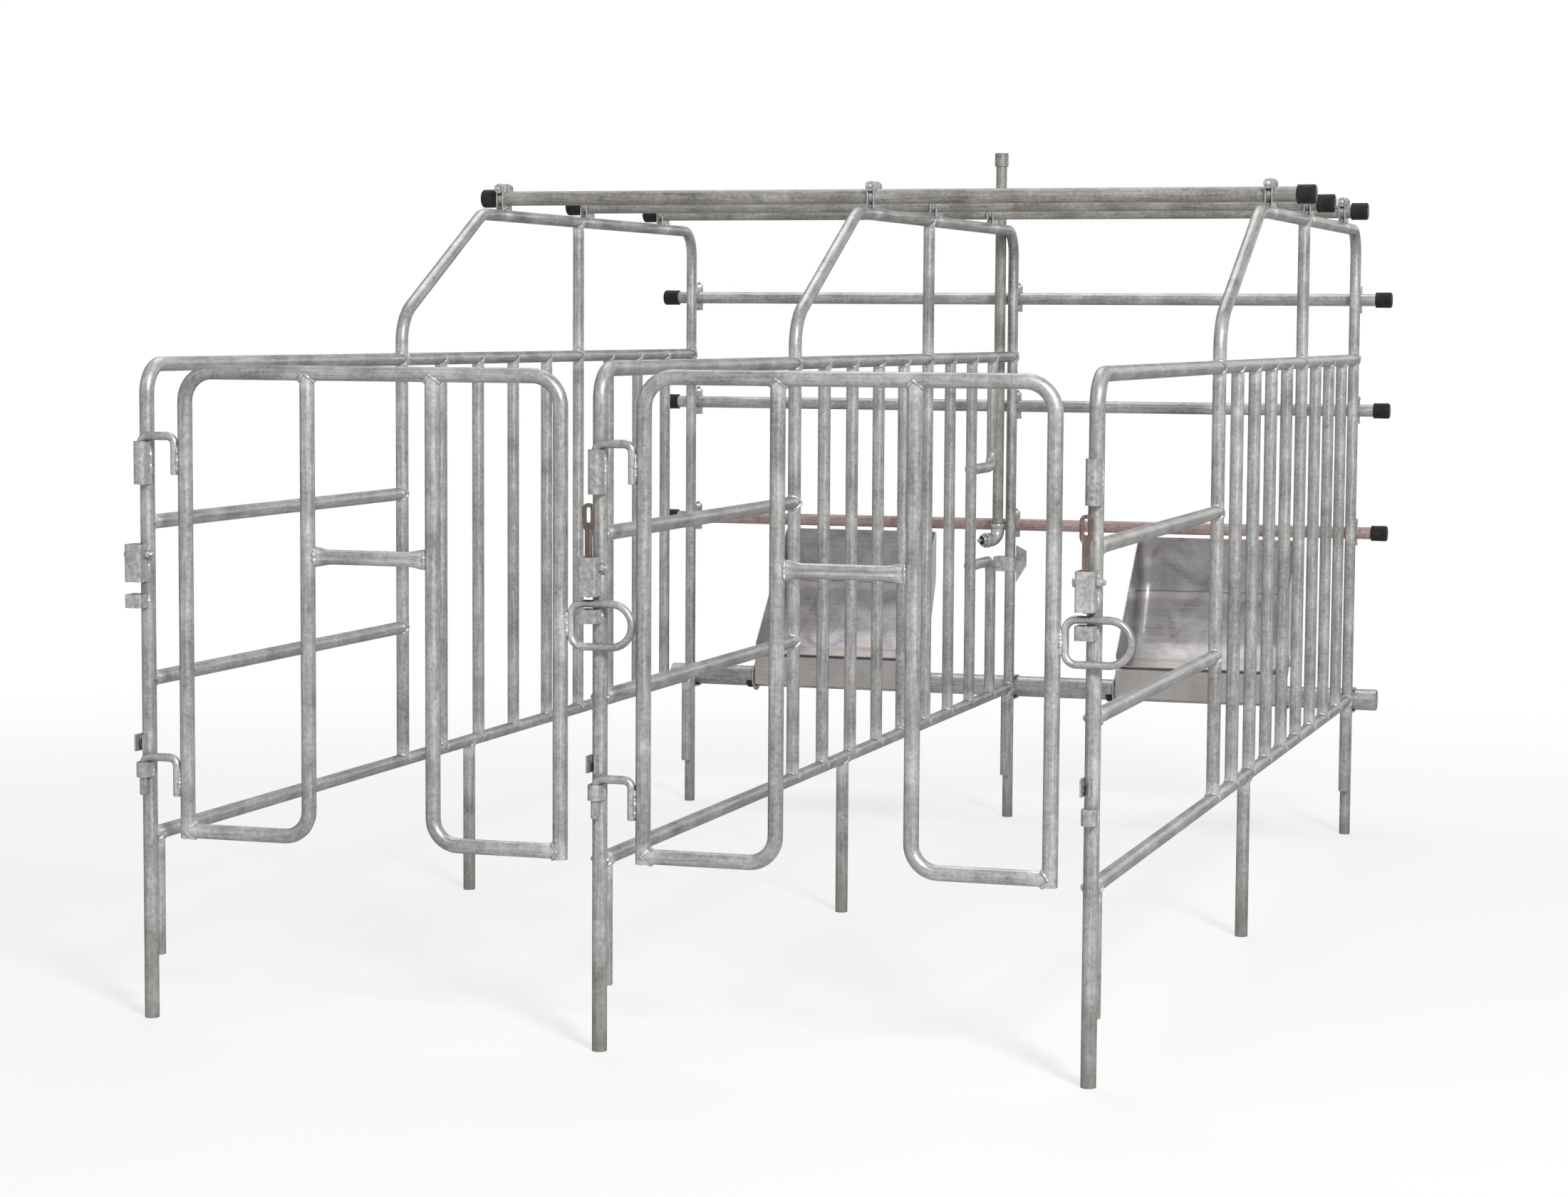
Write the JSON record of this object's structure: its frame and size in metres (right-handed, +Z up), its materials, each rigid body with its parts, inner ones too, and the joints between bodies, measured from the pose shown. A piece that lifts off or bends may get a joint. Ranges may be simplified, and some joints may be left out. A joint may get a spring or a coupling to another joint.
{
  "type": "sow gestation crate",
  "caption": "Twin livestock stall of galvanised tube: barred side panels, swing gates with drop-pin latches, crossbars, stainless troughs and a nipple drinker.",
  "frame": {"origin": "centre of the foot of the middle panel's rear post, on the floor", "axes": "+X across the stalls to the right as seen from the gates, +Y from the gates to the troughs, +Z up"},
  "size_m": [1.548, 2.6935, 1.37],
  "materials": {
    "galvanised_tube": "hot-dip galvanised, dull and blotchy",
    "galvanised_plate": "hot-dip galvanised plate, dull",
    "weathered_bar": "weathered galvanised pipe, brownish",
    "stained_bar": "stained pinkish brown",
    "stainless_sheet": "brushed stainless sheet",
    "zinc_bolt": "zinc plated, slightly yellow",
    "plated_fitting": "nickel plated brass and stainless, worn",
    "rusted_pin": "brown flat steel, rusted",
    "cap_rubber": "dull black-brown"
  },
  "bodies": {
    "crate": {"panel_left_rear_hoop": "galvanised_tube", "panel_left_infill": "galvanised_tube", "panel_left_top_arch": "galvanised_tube", "panel_left_front_post": "galvanised_tube", "upper_hinge_socket_left": "galvanised_plate", "lower_hinge_socket_left": "galvanised_plate", "latch_housing_left": "galvanised_plate", "latch_keeper_left": "galvanised_plate", "latch_bolt_left": "zinc_bolt", "panel_middle_rear_hoop": "galvanised_tube", "panel_middle_infill": "galvanised_tube", "panel_middle_top_arch": "galvanised_tube", "panel_middle_front_post": "galvanised_tube", "upper_hinge_socket_middle": "galvanised_plate", "lower_hinge_socket_middle": "galvanised_plate", "latch_housing_middle": "galvanised_plate", "latch_keeper_middle": "galvanised_plate", "latch_bolt_middle": "zinc_bolt", "panel_right_rear_hoop": "galvanised_tube", "panel_right_infill": "galvanised_tube", "panel_right_top_arch": "galvanised_tube", "panel_right_front_post": "galvanised_tube", "upper_hinge_socket_right": "galvanised_plate", "lower_hinge_socket_right": "galvanised_plate", "latch_housing_right": "galvanised_plate", "latch_keeper_right": "galvanised_plate", "latch_bolt_right": "zinc_bolt", "top_crossbar_rear": "weathered_bar", "top_crossbar_middle": "weathered_bar", "top_crossbar_front": "weathered_bar", "front_crossbar_upper": "galvanised_tube", "front_crossbar_middle": "galvanised_tube", "trough_guard_bar": "stained_bar", "feeder_tube": "galvanised_tube", "trough_left": "stainless_sheet", "trough_left_bracket_left": "galvanised_plate", "trough_left_bracket_right": "galvanised_plate", "trough_right": "stainless_sheet", "trough_right_bracket_left": "galvanised_plate", "trough_right_bracket_right": "galvanised_plate", "water_pipe": "weathered_bar", "pipe_socket": "weathered_bar", "drinker_elbow": "plated_fitting", "nipple_body": "plated_fitting", "drinker_clamp": "galvanised_plate"},
    "gate_left": {"gate_left_frame": "galvanised_tube", "gate_left_inner_tubes": "galvanised_tube", "gate_left_upper_hook": "galvanised_tube", "gate_left_lower_hook": "galvanised_tube", "gate_left_latch_loop": "galvanised_tube"},
    "gate_right": {"gate_right_frame": "galvanised_tube", "gate_right_inner_tubes": "galvanised_tube", "gate_right_upper_hook": "galvanised_tube", "gate_right_lower_hook": "galvanised_tube", "gate_right_latch_loop": "galvanised_tube"},
    "pin_left": {"latch_pin_left": "rusted_pin"},
    "pin_right": {"latch_pin_right": "rusted_pin"},
    "nipple": {"nipple_pin": "plated_fitting"}
  },
  "joints": [
    {"name": "gate_left_swing", "type": "hinge", "parent": "crate", "child": "gate_left", "pos_m": [-0.7, -0.019, 0.62], "axis": [0, 0, -1], "range_deg": [0, 110]},
    {"name": "gate_right_swing", "type": "hinge", "parent": "crate", "child": "gate_right", "pos_m": [0, -0.019, 0.62], "axis": [0, 0, -1], "range_deg": [0, 110]},
    {"name": "latch_pin_left_drop", "type": "slide", "parent": "crate", "child": "pin_left", "axis": [0, 0, 1], "range_m": [-0.036, 0]},
    {"name": "latch_pin_right_drop", "type": "slide", "parent": "crate", "child": "pin_right", "axis": [0, 0, 1], "range_m": [-0.036, 0]},
    {"name": "nipple_push", "type": "slide", "parent": "crate", "child": "nipple", "axis": [0.6157, 0.788, 0], "range_m": [0, 0.003], "stiffness_N_per_m": 400, "springref_m": -0.002}
  ]
}
